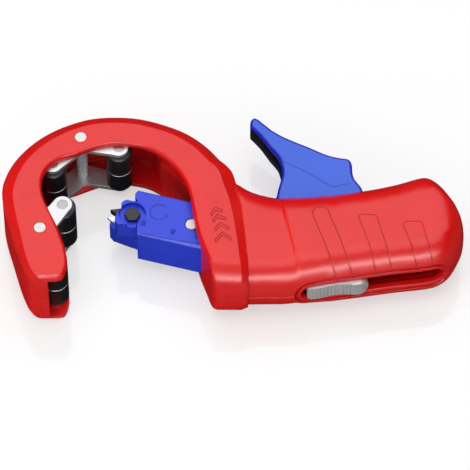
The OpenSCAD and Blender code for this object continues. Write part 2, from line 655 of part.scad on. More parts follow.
// Coil spring of separate turns swept by the helix formula
module coil(r, wire, pitch, turns, per_turn = 10, sides = 5) {
    n = turns * per_turn;
    pts = [for (i = [0 : n]) let (a = 360 * i / per_turn, z = pitch * i / per_turn)
        for (k = [0 : sides - 1]) let (b = 360 * k / sides, q = r + wire / 2 * cos(b))
            [q * cos(a), q * sin(a), z + wire / 2 * sin(b)]];
    polyhedron(points = pts, faces = concat(
        [[for (k = [sides - 1 : -1 : 0]) k]], [[for (k = [0 : sides - 1]) n * sides + k]],
        [for (i = [0 : n - 1], k = [0 : sides - 1]) let (q = (k + 1) % sides)
            each [[i * sides + k, i * sides + q, (i + 1) * sides + q],
                  [i * sides + k, (i + 1) * sides + q, (i + 1) * sides + k]]]));
}
module carriage_spring() {
    wire = 1;
    turns = 5;
    from = guide_t + collar_l / 2 + 0.8 * wire;
    color([0.7, 0.7, 0.72]) on_slide() translate([from, 0, 0]) rotate([0, 90, 0])
        coil(rod_r + 1.3 * wire, wire, (cavity[1] - 0.8 * wire - from) / turns, turns);
}

// Size slider: ridged steel shoe in the slot, with an inner arm slotted for the slide's peg
module size_slider() {
    far = to_wall(slide_point(peg_t, peg_n));
    near = to_wall(slide_point(peg_t, peg_n - cross_travel));
    side = polar(peg_d * eye_shares[0], -slide_angle - near_slope);
    ends = polar(peg_d * eye_shares[1], 90 - slide_angle - near_slope);
    color([0.8, 0.8, 0.82]) difference() {
        on_near_wall() {
            intersection() {
                slab(concat([[slider_l, wall_t + run], [0, wall_t + run]], slider_edge()), slider_h);
                translate([0, wall_t + 2 * run, 0]) rotate([90, 0, 0])
                    round_slot([0, 0], [slider_l - slider_h / 2, 0], slider_h / 2, 4 * slider_h);
            }
            slab([[0, 0], [slider_l - slider_h / 2, 0], [slider_l, arm_q[0]], [slider_l, arm_q[1]],
                  [0, arm_q[1]]], arm_t);
            slab([[0, arm_q[0]], [0, arm_q[1]], near + side, far + side + ends, far - side + ends,
                  near - side - ends, [near[0] - side[0], arm_q[0]]], arm_t);
        }
        on_slide() round_slot([peg_t, peg_n], [peg_t, peg_n - cross_travel], peg_d / 2 + 2 * fit, 2 * arm_t);
    }
}
eye_shares = [1.1, 0.85];           // of the peg's diameter, round its slot in the arm
// Thumb edge: two waves between rounded ends, with upright ridges over part of its length
ridges = 12;
ridged_share = 0.74;
wave_period_share = 0.7;
wave_from = 23;
wave_shares = [0.4, 0.45, 0.22, -0.2];   // start, rise, swell and ridge, of how far it stands out
nose_share = 0.07;
tail_share = 0.2;
function wave(u) = wave_shares[0] + wave_shares[1] * u
    + wave_shares[2] * sin(360 * u / wave_period_share + wave_from);
function rounding(u) = sqrt(1 - pow(max(0, 1 - u / nose_share, 1 - (1 - u) / tail_share), 2));
edge_spots = 2 * ridges / ridged_share;
function slider_edge() = concat(
    [for (i = [0 : edge_spots]) let (u = i / edge_spots)
        [u * slider_l, -slider_proud * rounding(u)
            * (wave(u) + (u < ridged_share ? wave_shares[3] * (i % 2) : 0))]],
    [[slider_l, 0]]);

// Trigger outline round its pin, clockwise, as shares of the length from pin to tip
trigger_shares = [
    [-0.648, 0.721], [-0.644, 0.776], [-0.612, 0.798], [-0.571, 0.762], [-0.500, 0.691],
    [-0.426, 0.638], [-0.348, 0.594], [-0.271, 0.555], [-0.195, 0.514], [-0.121, 0.479],
    [-0.045, 0.459], [0.002, 0.452], [0.026, 0.430], [0.034, 0.394], [0.036, 0.341],
    [0.050, 0.288], [0.084, 0.239], [0.102, 0.197], [0.106, 0.106], [0.1, -0.03], [0.06, -0.08],
    [0, -0.096], [-0.106, -0.092], [-0.197, -0.064], [-0.34, 0.038], [-0.465, 0.121],
    [-0.470, 0.165], [-0.456, 0.236], [-0.438, 0.306], [-0.435, 0.359], [-0.447, 0.421],
    [-0.465, 0.474], [-0.518, 0.545], [-0.580, 0.642]
];
trigger_path = size_in(open_spline(concat(trigger_shares, [trigger_shares[0]]), 2), trigger_l);
function inset_loop(p, d) = let (n = len(p)) [for (i = [0 : n - 1])
    let (t = unit(p[(i + 1) % n] - p[(i + n - 1) % n])) p[i] + d * [t[1], -t[0]]];
trigger_loop = [for (i = [0 : len(trigger_path) - 2]) trigger_path[i]];
solid_tip_share = 0.7;      // the hollow stops there, short of the tip
function hollow_loop(wall) = [for (q = inset_loop(trigger_loop, wall))
    if (q[1] < solid_tip_share * trigger_l) q];
hollow_shift = [-6, -8];    // opens the hollow towards the housing
// Mouth of the hollow along the edge that faces the ring
mouth_shares = [
    [-0.70, 0.71], [-0.60, 0.52], [-0.52, 0.42], [-0.48, 0.34], [-0.40, 0.34], [-0.405, 0.44],
    [-0.45, 0.53], [-0.53, 0.635], [-0.60, 0.71], [-0.618, 0.742]
];
mouth_h = trigger_t - 3 * trigger_wall;
spring_wire = 1.2;
spring_turns = 5;
trigger_spring_l = 9;
taper_from = 0.55;  // share of the length where the trigger starts to thin
taper = 2.9;        // slope of each face towards the tip
taper_angle = 129;  // direction of the tip
squeeze = 20;       // travel of the trigger, in degrees
link_angle = 14;    // of the link pin, from the Y axis
link_r = feed / (sin(slide_angle + link_angle + squeeze) - sin(slide_angle + link_angle));
link_at = polar(link_r, 90 + link_angle);
link_d = 2.4;
link_skin = 1.1;    // of the trigger over the link pin's ends
link_l = trigger_t - 2 * link_skin;
module trigger() {
    color([0.36, 0.5, 0.92]) translate(trigger_pin_at) difference() {
        slab(trigger_loop, trigger_t);
        slab(hollow_loop(trigger_wall), trigger_t - 2 * trigger_wall);
        translate(hollow_shift) slab(hollow_loop(2 * trigger_wall), trigger_t - 2 * trigger_wall);
        slab(size_in(mouth_shares, trigger_l), mouth_h);
        for (side = [-1, 1]) rotate(taper_angle) translate([taper_from * trigger_l, 0, side * trigger_t / 2])
            rotate([0, side * taper, 0]) translate([0, 0, side * trigger_t / 2])
                block(0, trigger_l, -trigger_l / 2, trigger_l / 2, trigger_t);
        translate([0, 0, -trigger_spring_l / 2 - run])
            cylinder(r = trigger_pin_d / 2 + 2 * spring_wire + run, h = trigger_spring_l + 2 * run);
        translate([0, 0, -trigger_t]) cylinder(d = trigger_pin_d + 2 * fit, h = 2 * trigger_t);
        translate([link_at[0], link_at[1], -link_l / 2 - fit])
            cylinder(d = link_d + 2 * fit, h = link_l + 2 * fit);
    }
}
module trigger_link_pin() {
    color([0.7, 0.7, 0.73]) translate(trigger_pin_at) translate([link_at[0], link_at[1], -link_l / 2])
        cylinder(d = link_d, h = link_l);
}
module trigger_spring() {
    pitch = (trigger_spring_l - spring_wire) / spring_turns;
    color([0.7, 0.7, 0.72]) translate(trigger_pin_at)
        translate([0, 0, -trigger_spring_l / 2 + spring_wire / 2])
            coil(trigger_pin_d / 2 + spring_wire, spring_wire, pitch, spring_turns);
}

// Feed pawl: slotted arm on the trigger's link pin, with teeth over the carriage's rack
pawl_back = 8.5;
pawl_reach = rack_t1 - pawl_back;   // middle of its foot, along the slide
pawl_foot = 3;                  // half the foot's length
pawl_rise = 4;                  // of the arm over the teeth
pawl_slot_gap = 0.25;
pawl_arm_share = 0.9;
module feed_pawl() {
    from = to_slide(trigger_pin_at + link_at);
    end = from + [0, -link_r * (cos(slide_angle + link_angle) - cos(slide_angle + link_angle + squeeze))];
    tip = rack_n[1] + run;
    root = tip + tooth * sqrt(2);
    arm = link_d * pawl_arm_share;
    color([0.6, 0.6, 0.63]) on_slide() translate([0, 0, rack_z]) difference() {
        union() {
            round_slot(end, from, link_d, rack_h);
            slab([from - [arm, 0], from + [arm, 0], end + [arm, -arm],
                  [pawl_reach + pawl_foot, tip + pawl_rise], [pawl_reach + pawl_foot, root],
                  [pawl_reach - pawl_foot, root], [pawl_reach - pawl_foot, tip + pawl_rise]], rack_h);
            for (i = [-1 : 1]) translate([pawl_reach + i * tooth_pitch, root, 0]) rotate(45)
                block(-tooth, tooth, -tooth, tooth, rack_h);
        }
        round_slot(end, from, link_d / 2 + pawl_slot_gap, 2 * rack_h);
    }
}

housing_upper();
housing_lower();
housing_screws();
rear_rocker_pin();
tip_rocker_pin();
trigger_pin();
rear_rocker_plate_upper();
rear_rocker_plate_lower();
rear_roller_axles();
tip_rocker_plate_upper();
tip_rocker_plate_lower();
tip_roller_axles();
roller_rear_outer();
roller_rear_inner();
roller_tip_inner();
roller_tip_outer();
base_slide();
guide_pin();
slide_peg();
carriage();
blade_clamp();
clamp_screw();
cutting_blade();
chamfer_blade();
carriage_spring();
size_slider();
trigger();
trigger_link_pin();
trigger_spring();
feed_pawl();
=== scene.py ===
# Cutter for plastic waste pipe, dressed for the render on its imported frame.
import json
import math

import bmesh
import bpy
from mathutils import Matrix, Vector
from mathutils.interpolate import poly_3d_calc
from mathutils.bvhtree import BVHTree

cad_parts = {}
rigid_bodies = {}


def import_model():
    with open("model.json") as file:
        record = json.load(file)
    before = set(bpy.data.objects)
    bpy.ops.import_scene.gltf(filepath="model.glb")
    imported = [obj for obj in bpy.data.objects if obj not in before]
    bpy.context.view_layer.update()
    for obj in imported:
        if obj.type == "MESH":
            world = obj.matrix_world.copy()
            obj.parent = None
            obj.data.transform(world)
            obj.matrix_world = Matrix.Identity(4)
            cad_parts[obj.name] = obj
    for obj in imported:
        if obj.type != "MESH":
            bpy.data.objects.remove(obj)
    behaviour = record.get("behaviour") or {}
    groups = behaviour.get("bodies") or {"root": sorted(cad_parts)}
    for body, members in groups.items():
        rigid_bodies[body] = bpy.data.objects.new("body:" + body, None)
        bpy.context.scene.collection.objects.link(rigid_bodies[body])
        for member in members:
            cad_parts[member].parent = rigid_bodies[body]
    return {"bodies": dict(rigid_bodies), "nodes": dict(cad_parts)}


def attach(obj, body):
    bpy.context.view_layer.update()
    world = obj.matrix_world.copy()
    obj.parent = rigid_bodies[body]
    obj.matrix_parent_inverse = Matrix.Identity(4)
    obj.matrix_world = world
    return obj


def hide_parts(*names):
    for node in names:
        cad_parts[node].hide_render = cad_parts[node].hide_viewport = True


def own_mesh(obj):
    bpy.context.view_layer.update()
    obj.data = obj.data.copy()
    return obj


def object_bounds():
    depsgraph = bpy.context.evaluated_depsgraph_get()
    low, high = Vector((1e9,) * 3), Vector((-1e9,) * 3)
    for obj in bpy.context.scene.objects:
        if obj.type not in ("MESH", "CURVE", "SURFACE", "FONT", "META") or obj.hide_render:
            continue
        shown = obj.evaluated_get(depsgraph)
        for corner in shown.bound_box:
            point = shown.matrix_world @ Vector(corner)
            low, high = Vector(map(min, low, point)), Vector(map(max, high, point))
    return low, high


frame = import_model()
CAD_BOX = [list(corner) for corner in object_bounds()]

# Sizes in metres
MM = 0.001
FLOOR_Z = CAD_BOX[0][2]
TOP_Z = CAD_BOX[1][2]
SLIDE_ANGLE = math.radians(15)

# Camera: far off, looking at the middle of the photograph's frame
ELEVATION = math.radians(57.7)
CAMERA_DISTANCE = 1.926
CAMERA_LENS = 336
LOOK_AT = Vector((53.6, -8.0, 0)) * MM


def linked(name, data):
    """A new object of that data, in the scene."""
    made = bpy.data.objects.new(name, data)
    bpy.context.collection.objects.link(made)
    return made


def make_camera():
    """The photograph's camera."""
    data = bpy.data.cameras.new("camera")
    data.lens = CAMERA_LENS
    data.sensor_width = 36
    data.clip_start = 0.1
    data.clip_end = 20
    camera = linked("camera", data)
    back = Vector((0, -math.cos(ELEVATION), math.sin(ELEVATION)))
    camera.location = LOOK_AT + back * CAMERA_DISTANCE
    camera.rotation_euler = (math.pi / 2 - ELEVATION, 0, 0)
    bpy.context.scene.camera = camera


# Shader nodes; the scales of the noises are per metre
CLOUDS = 60
PATCHES = 900
STREAKS = 1500
STREAK_RELIEF = 0.000006
METAL_VARIATION = 0.12


def new_material(name):
    """A material with its nodes, its links and its shader."""
    material = bpy.data.materials.new(name)
    material.use_nodes = True
    nodes = material.node_tree.nodes
    return material, nodes, material.node_tree.links, nodes["Principled BSDF"]


def noise(nodes, links, scale, detail=3, roughness=0.5, stretch=(1, 1, 1)):
    """A noise texture in metres, stretched along the axes."""
    place = nodes.new("ShaderNodeTexCoord")
    mapping = nodes.new("ShaderNodeMapping")
    mapping.inputs["Scale"].default_value = stretch
    texture = nodes.new("ShaderNodeTexNoise")
    texture.inputs["Scale"].default_value = scale
    texture.inputs["Detail"].default_value = detail
    texture.inputs["Roughness"].default_value = roughness
    links.new(place.outputs["Object"], mapping.inputs["Vector"])
    links.new(mapping.outputs["Vector"], texture.inputs["Vector"])
    return texture.outputs["Fac"]


def ramp(nodes, links, value, low, high):
    """value taken to the range between low and high."""
    spread = nodes.new("ShaderNodeMapRange")
    spread.inputs["From Min"].default_value = 0.3
    spread.inputs["From Max"].default_value = 0.7
    spread.inputs["To Min"].default_value = low
    spread.inputs["To Max"].default_value = high
    links.new(value, spread.inputs["Value"])
    return spread.outputs["Result"]


def tint(nodes, links, value, dark, light):
    """A colour that runs from dark to light with value."""
    mix = nodes.new("ShaderNodeMix")
    mix.data_type = "RGBA"
    mix.inputs[6].default_value = (*dark, 1)
    mix.inputs[7].default_value = (*light, 1)
    links.new(value, mix.inputs[0])
    return mix.outputs[2]


def grain(nodes, links, shader, height, distance, edge_radius):
    """Fine relief over edges rounded by edge_radius."""
    rounded = nodes.new("ShaderNodeBevel")
    rounded.samples = 6
    rounded.inputs["Radius"].default_value = edge_radius
    bump = nodes.new("ShaderNodeBump")
    bump.inputs["Strength"].default_value = 1
    bump.inputs["Distance"].default_value = distance
    links.new(height, bump.inputs["Height"])
    links.new(rounded.outputs["Normal"], bump.inputs["Normal"])
    links.new(bump.outputs["Normal"], shader.inputs["Normal"])


def worn_colour(nodes, links, shader, colour, variation):
    """Colour that varies a little over a few centimetres."""
    cloud = ramp(nodes, links, noise(nodes, links, CLOUDS, 2), 0, 1)
    dark = [c * (1 - variation) for c in colour]
    links.new(tint(nodes, links, cloud, dark, colour), shader.inputs["Base Color"])


def plastic(name, colour, rough, grain_size=0.00025, relief=0.00002, edge=0.0005,
            variation=0.06):
    """Moulded plastic: clouded colour, patchy gloss and a fine grain."""
    material, nodes, links, shader = new_material(name)
    worn_colour(nodes, links, shader, colour, variation)
    patches = ramp(nodes, links, noise(nodes, links, PATCHES, 2), rough * 0.92, rough * 1.08)
    links.new(patches, shader.inputs["Roughness"])
    shader.inputs["IOR"].default_value = 1.5
    grain(nodes, links, shader, noise(nodes, links, 1 / grain_size, 2), relief, edge)
    return material


def metal(name, colour, rough, brushed=(1, 1, 1), edge=0.0003, metallic=1.0):
    """Metal with streaks, drawn out across the axes where brushed is large."""
    material, nodes, links, shader = new_material(name)
    worn_colour(nodes, links, shader, colour, METAL_VARIATION)
    streaks = noise(nodes, links, STREAKS, 4, 0.6, brushed)
    links.new(ramp(nodes, links, streaks, rough * 0.75, rough * 1.3), shader.inputs["Roughness"])
    shader.inputs["Metallic"].default_value = metallic
    grain(nodes, links, shader, streaks, STREAK_RELIEF, edge)
    return material


make_camera()
red = plastic("red_moulding", (0.78, 0.006, 0.006), 0.3, edge=0.0008)
# Darker red on the faces of the engraved grooves: painted shade in the grooves
red_groove_painted_shade = plastic("red_groove_painted_shade", (0.30, 0.003, 0.003), 0.5)
blue = plastic("blue_moulding", (0.010, 0.042, 0.70), 0.36)
# Darker blue on the faces of the grooves and sunk numbers: painted shade in the recesses
blue_groove_painted_shade = plastic("blue_groove_painted_shade", (0.006, 0.012, 0.22), 0.5)
trigger_colour = plastic("trigger_moulding", (0.028, 0.112, 0.74), 0.34)
# Deeper blue on the trigger's rounded edges: painted shade along its rim
trigger_rim_painted_shade = plastic("trigger_rim_painted_shade", (0.006, 0.016, 0.50), 0.3)
trigger_inside = plastic("trigger_inside", (0.006, 0.007, 0.012), 0.7)
black_roller = plastic("roller_rubber", (0.016, 0.016, 0.018), 0.34, relief=0.000008, edge=0.0006)
ground_line = metal("roller_line", (0.45, 0.45, 0.46), 0.4)
nylon = plastic("pin_nylon", (0.80, 0.80, 0.78), 0.4)
dark_plastic = plastic("slide_plastic", (0.03, 0.03, 0.035), 0.45)
steel = metal("plate_steel", (0.67, 0.675, 0.69), 0.34, (1, 8, 1), metallic=0.7)
axle = metal("axle_steel", (0.36, 0.365, 0.38), 0.3)
blade_steel = metal("blade_steel", (0.78, 0.79, 0.82), 0.2, (8, 1, 1))
chrome = metal("pin_steel", (0.86, 0.86, 0.87), 0.26, metallic=0.35)
black_steel = metal("black_screw", (0.05, 0.05, 0.055), 0.35)
spring_steel = metal("spring_wire", (0.55, 0.55, 0.58), 0.25)
shoe_steel = metal("shoe_steel", (0.72, 0.72, 0.74), 0.33, (1, 1, 10), 0.00008, metallic=0.45)

FINISHES = {
    "housing_upper": red, "housing_lower": red, "housing_screws": axle,
    "rear_rocker_pin": nylon, "tip_rocker_pin": nylon, "trigger_pin": axle,
    "rear_rocker_plate_upper": steel, "rear_rocker_plate_lower": steel,
    "tip_rocker_plate_upper": steel, "tip_rocker_plate_lower": steel,
    "rear_roller_axles": axle, "tip_roller_axles": axle,
    "roller_rear_outer": black_roller, "roller_rear_inner": black_roller,
    "roller_tip_inner": black_roller, "roller_tip_outer": black_roller,
    "base_slide": dark_plastic, "guide_pin": nylon, "slide_peg": axle,
    "carriage": blue, "blade_clamp": blue, "clamp_screw": black_steel,
    "cutting_blade": blade_steel, "chamfer_blade": black_steel,
    "carriage_spring": spring_steel, "size_slider": shoe_steel, "trigger": trigger_colour,
    "trigger_link_pin": axle, "trigger_spring": spring_steel, "feed_pawl": axle,
}


# Pieces

def copied(node):
    """A copy of a CAD node as one closed mesh with its finish."""
    work = bmesh.new()
    work.from_mesh(frame["nodes"][node].data)
    bmesh.ops.remove_doubles(work, verts=work.verts, dist=1e-6)
    bmesh.ops.dissolve_limit(
        work, angle_limit=math.radians(0.3), verts=work.verts, edges=work.edges)
    mesh = bpy.data.meshes.new(node + "_piece")
    work.to_mesh(mesh)
    work.free()
    mesh.materials.clear()
    mesh.materials.append(FINISHES[node])
    for polygon in mesh.polygons:
        polygon.material_index = 0
    return linked(mesh.name, mesh)


def evaluated(piece):
    """Bakes the piece's modifiers into its mesh."""
    bpy.context.view_layer.update()
    changed = piece.evaluated_get(bpy.context.evaluated_depsgraph_get())
    mesh = bpy.data.meshes.new_from_object(changed)
    piece.modifiers.clear()
    piece.data = mesh


def paint(piece, material, chosen):
    """Gives material to the faces for which chosen(face, heights of its corners) is true."""
    piece.data.materials.append(material)
    slot = len(piece.data.materials) - 1
    for polygon in piece.data.polygons:
        heights = [abs(piece.data.vertices[k].co.z) for k in polygon.vertices]
        if chosen(polygon, heights):
            polygon.material_index = slot


def loft(work, rings, closed=False):
    """Adds a solid through the rings of points, with two ends or, if closed, with none."""
    rings = [[work.verts.new(point) for point in ring] for ring in rings]
    pairs = list(zip(rings, rings[1:])) + ([(rings[-1], rings[0])] if closed else [])
    for a, b in pairs:
        for k in range(len(a)):
            after = (k + 1) % len(a)
            work.faces.new((a[k], a[after], b[after], b[k]))
    if not closed:
        work.faces.new(rings[0][::-1])
        work.faces.new(rings[-1])


def combine(piece, work, material, operation):
    """Joins the solid in work to the piece, or cuts it out; its faces bring material."""
    bmesh.ops.recalc_face_normals(work, faces=work.faces)
    mesh = bpy.data.meshes.new("tool")
    work.to_mesh(mesh)
    work.free()
    mesh.materials.append(material)
    tool = linked("tool", mesh)
    change = piece.modifiers.new("change", "BOOLEAN")
    change.operation = operation
    change.solver = "MANIFOLD"
    change.material_mode = "TRANSFER"
    change.object = tool
    evaluated(piece)
    bpy.data.objects.remove(tool)


def round_edges(piece, width, chosen, clamp=True, segments=3):
    """Rounds the edges for which chosen(edge) is true."""
    work = bmesh.new()
    work.from_mesh(piece.data)
    work.normal_update()
    edges = [e for e in work.edges
             if e.is_convex and e.calc_face_angle(0) > ROUNDED_FROM and chosen(e)]
    bmesh.ops.bevel(work, geom=edges, offset=width, offset_type="OFFSET", segments=segments,
                    profile=0.5, affect="EDGES", clamp_overlap=clamp, material=-1)
    work.to_mesh(piece.data)
    work.free()


def between(table, value):
    """The value's partner in a table of pairs in rising order."""
    for (a, low), (b, high) in zip(table, table[1:]):
        if value <= b:
            return low + (high - low) * max(0, value - a) / (b - a)
    return table[-1][1]


def ease_collar(piece):
    """Widens the step from the neck to the grip."""
    for v in piece.data.vertices:
        x, y, z = (value / MM for value in v.co)
        rise = (abs(z) - WAIST_TOP) / (NECK_TOP - WAIST_TOP)
        if COLLAR_START < x < COLLAR_END and rise > 0:
            v.co.x -= between(STEP_BACK, y) * min(rise, 1) * MM
        if COLLAR_START < x < DEEP_END and DEEP_LOW < abs(z) < NECK_TOP - NECK_FLAT:
            v.co.z = math.copysign(NECK_TOP - (NECK_TOP - abs(z)) * between(STEP_DEEP, y), z) * MM


def fill_grip(piece):
    """Makes the grip's near side fuller below the slot."""
    for v in piece.data.vertices:
        x, y, z = (value / MM for value in v.co)
        if x > FULLER_ALONG[0][0] and y < GRIP_MIDDLE and z < 0:
            depth = min((GRIP_MIDDLE - y) / FULLER_FADE, 1)
            v.co.y -= between(FULLER, -z) * between(FULLER_ALONG, x) * depth * MM


def corner_line(far, inset):
    """The web's outline from mid-height, round the corner and in along the top."""
    radius = CORNER_R - inset
    bend = [(far - inset - radius * (1 - math.cos(k * math.pi / 16)),
             CORNER_TOP - inset - radius * (1 - math.sin(k * math.pi / 16))) for k in range(9)]
    return [(far - inset, 0)] + bend + [(WEB_END, CORNER_TOP - inset)]


def fill_corner(piece, side):
    """Joins a curved web to the piece, in the corner between the ring and the waist."""
    work = bmesh.new()
    rings = []
    for x, far, slant in CORNER_WEB:
        line = corner_line(far, 0) + corner_line(far, WEB_T)[::-1]
        rings.append([Vector((x + slant * (far - y), y, side * z)) * MM for y, z in line])
    loft(work, rings)
    combine(piece, work, piece.data.materials[0], "UNION")


def smooth(piece, angle):
    """Smooth shading between sharp edges, led by the larger faces."""
    work = bmesh.new()
    work.from_mesh(piece.data)
    work.normal_update()
    for face in work.faces:
        face.smooth = True
    for e in work.edges:
        e.smooth = e.calc_face_angle(math.pi) < math.radians(angle)
    work.to_mesh(piece.data)
    work.free()
    weighted = piece.modifiers.new("weighted", "WEIGHTED_NORMAL")
    weighted.keep_sharp = True
    weighted.weight = 90
    evaluated(piece)


def body_name(node):
    """The body that the CAD node rides on."""
    return next(b for b, e in frame["bodies"].items() if e is frame["nodes"][node].parent)


# How lines are engraved
ENGRAVE_STEP = 1.2      # mm along a line
BAR_SIDE = 3            # half width of the cutting bar's top, in half widths of the groove
BAR_TOP = 2             # height of its top over the surface, in depths of the groove
SAME_SURFACE = 0.96     # cosine between the old face and the new
INWARDS = 0.02          # share from a face's corner to its middle


def in_sight(tree, x, y):
    """Where the camera sees the spot that lies at x, y (mm) on the plane of the top face."""
    camera = bpy.context.scene.camera.location
    spot = Vector((x * MM, y * MM, TOP_Z))
    place, normal, _, _ = tree.ray_cast(camera, (spot - camera).normalized())
    return place, normal


def resampled(points, step, closed=False):
    """The polyline with points no further apart than step."""
    points = points + points[:1] if closed else points
    made = []
    for (x0, y0), (x1, y1) in zip(points, points[1:]):
        count = max(1, math.ceil(math.hypot(x1 - x0, y1 - y0) / step))
        made += [(x0 + (x1 - x0) * k / count, y0 + (y1 - y0) * k / count) for k in range(count)]
    return made if closed else made + points[-1:]


def rounded_line(points, times=2):
    """The line with its corners cut, again and again."""
    for _ in range(times):
        made = [points[0]]
        for (x0, y0), (x1, y1) in zip(points, points[1:]):
            made += [(x0 * 0.75 + x1 * 0.25, y0 * 0.75 + y1 * 0.25),
                     (x0 * 0.25 + x1 * 0.75, y0 * 0.25 + y1 * 0.75)]
        points = made + [points[-1]]
    return points


def cutter(work, track, width, depth, closed=False):
    """Adds a bar of V section, width and depth in metres, along (place, normal) pairs."""
    rings = []
    count = len(track)
    for i, (place, normal) in enumerate(track):
        before = track[(i - 1) % count if closed else max(i - 1, 0)][0]
        after = track[(i + 1) % count if closed else min(i + 1, count - 1)][0]
        side = (after - before).cross(normal).normalized() * width / 2
        rings.append([place + side * BAR_SIDE + normal * depth * BAR_TOP,
                      place - side * BAR_SIDE + normal * depth * BAR_TOP,
                      place - normal * depth])
    loft(work, rings, closed)


def subtract(piece, work, material):
    """Cuts the solid in work out of the piece, whose other faces keep their shading."""
    before = piece.data
    combine(piece, work, material, "DIFFERENCE")
    keep_normals(piece.data, before)


def keep_normals(mesh, before):
    """Gives the faces that lie on the surface of before its smooth normals."""
    points = [v.co for v in before.vertices]
    faces = [list(p.vertices) for p in before.polygons]
    tree = BVHTree.FromPolygons(points, faces)
    corners = [n.vector.copy() for n in before.corner_normals]
    normals = []
    for polygon in mesh.polygons:
        for index in polygon.vertices:
            place = mesh.vertices[index].co.lerp(polygon.center, INWARDS)
            near, facing, face, _ = tree.find_nearest(place)
            if facing.dot(polygon.normal) < SAME_SURFACE:
                normals.append(polygon.normal.copy())
                continue
            weights = poly_3d_calc([points[k] for k in faces[face]], near)
            loops = before.polygons[face].loop_indices
            blended = sum((corners[k] * w for k, w in zip(loops, weights)), Vector())
            normals.append(blended.normalized())
    for polygon in mesh.polygons:
        polygon.use_smooth = True
    mesh.normals_split_custom_set(normals)


def engrave(piece, lines, groove, material, closed=False):
    """Cuts the lines into the piece; groove is the width and depth in millimetres."""
    tree = BVHTree.FromObject(piece, bpy.context.evaluated_depsgraph_get())
    work = bmesh.new()
    for points in lines:
        track = [in_sight(tree, x, y) for x, y in resampled(points, ENGRAVE_STEP, closed)]
        cutter(work, [t for t in track if t[0]], groove[0] * MM, groove[1] * MM, closed)
    subtract(piece, work, material)


def engrave_number(piece, text, at):
    """Sinks a scale number into the top face of the piece, read along the carriage's width."""
    tree = BVHTree.FromObject(piece, bpy.context.evaluated_depsgraph_get())
    place, _ = in_sight(tree, *at)
    curve = bpy.data.curves.new("number", "FONT")
    curve.body = text
    curve.size = NUMBER_SIZE * MM
    curve.align_x = "CENTER"
    curve.align_y = "CENTER"
    curve.extrude = NUMBER_DEPTH * MM
    curve.resolution_u = 3
    letters = linked("number", curve)
    letters.rotation_euler = (0, 0, math.pi / 2 - SLIDE_ANGLE)
    letters.location = place
    bpy.context.view_layer.update()
    work = bmesh.new()
    work.from_mesh(letters.evaluated_get(bpy.context.evaluated_depsgraph_get()).to_mesh())
    work.transform(letters.matrix_world)
    bpy.data.objects.remove(letters)
    bmesh.ops.remove_doubles(work, verts=work.verts, dist=1e-7)
    # The number's cut faces get darker blue: painted shade in the recess
    subtract(piece, work, blue_groove_painted_shade)


def arc(centre, radius, start, end, step=15):
    """Points of an arc from the start angle to the end angle, in degrees."""
    count = max(1, round(abs(end - start) / step))
    return [(centre[0] + radius * math.cos(math.radians(start + (end - start) * k / count)),
             centre[1] + radius * math.sin(math.radians(start + (end - start) * k / count)))
            for k in range(count + 1)]


# What is engraved, in millimetres as seen on the plane of the top face; a groove is its
# width and its depth
PANELS = [
    [(97.6, -43), (94.7, -29.5), (88.2, -11)] + arc((91.1, -8.2), 3.6, 190, 5)
    + [(95.6, -10.8), (99.3, -20.8), (103, -34.2), (104.6, -41.5)],
    [(114.8, -40.5), (112.7, -26.6), (109.6, -16.5), (107.5, -10.8)]
    + arc((108.9, -9.8), 1.3, 170, 95) + [(111.5, -8.7)] + arc((114.2, -10.3), 1.4, 85, 5)
    + [(117.3, -17), (119.7, -26.5), (121.5, -37.5), (121.8, -39.8)],
    [(132.4, -37.6), (130.6, -24.9), (126.9, -14.9)] + arc((128.2, -13.8), 1.4, 170, 95)
    + [(130.6, -12.3)] + arc((133.6, -13.9), 1.6, 85, 15)
    + [(136.6, -19.6), (138.3, -27.2), (139.2, -35.4)],
]
CHEVRONS = [
    [(43.1, -8), (44.8, -5), (47.7, -6.1)], [(43.9, -11.3), (45.8, -8.7), (49.4, -10.2)],
    [(44.8, -15.7), (47.2, -12.9), (50.8, -15.1)], [(45, -21.7), (48, -17.6), (51.9, -20.8)],
]
CHEVRON_W = 1.5
CHEVRON_LEAN = 0.3
TRIGGER_LINE = [(74, 19.4), (84.6, 13.6), (92.1, 8.3), (95, 6), (97.4, 5.6), (100, 6.6),
                (103.8, 7.2)]
EDGE_LINE = [(11.6, -18.2), (25.5, -21.4), (46, -25.4)]
DIAL_AT = (20.5, -7.5)
DIAL_R = 4
DIAL_FROM = 40          # degrees
DIAL_TO = 340
NUMBERS = [("50", (13.9, -13.5)), ("40", (26.7, -17.8)), ("32", (37.7, -20))]
NUMBER_SIZE = 2.9
NUMBER_DEPTH = 0.25
PANEL_GROOVE = (0.24, 0.2)
CHEVRON_GROOVE = (0.3, 0.28)
TRIGGER_GROOVE = (0.2, 0.2)
CARRIAGE_GROOVE = (0.25, 0.25)


def chevron_outline(points):
    """The chevron as a closed band."""
    lower = [(x + CHEVRON_LEAN, y - CHEVRON_W) for x, y in points]
    return points + lower[::-1]


def outer_edge(e, top):
    """Whether the edge lies on the outside of the piece near its top or bottom face."""
    return all(abs(v.co.z) > top for v in e.verts)


# Collar in millimetres: where along x it is eased and where it gets deeper, then by y how
# far the step's top edge moves back and how much deeper the step gets
COLLAR_START = 43.5
COLLAR_END = 62
DEEP_END = 57
DEEP_LOW = 12.9
NECK_TOP = 18
NECK_FLAT = 0.01
WAIST_TOP = 15.6
STEP_BACK = [(-35.4, 0.3), (-22, 1), (-11.7, 1.6), (-4.4, 1.8), (1.8, 2.5), (8.5, 3.4),
             (14.2, 3.2), (17.8, 0.6), (19, 0)]
STEP_DEEP = [(-3, 1), (4, 1.7), (10, 1.9), (14, 1.6), (19, 1)]
# Web in the corner: sections as x, the far side's y and how far it leans along the ring
CORNER_WEB = [(51.6, 15.6, 0.27), (53.6, 15.1, 0.2), (55.6, 13.9, 0.14), (58, 12.2, 0.06),
              (61, 10.6, 0), (64.5, 9.2, 0), (68.5, 8.1, 0), (73, 7.2, 0), (79, 5.6, 0)]
CORNER_R = 14
CORNER_TOP = 15.55
WEB_T = 2.5
WEB_END = -9
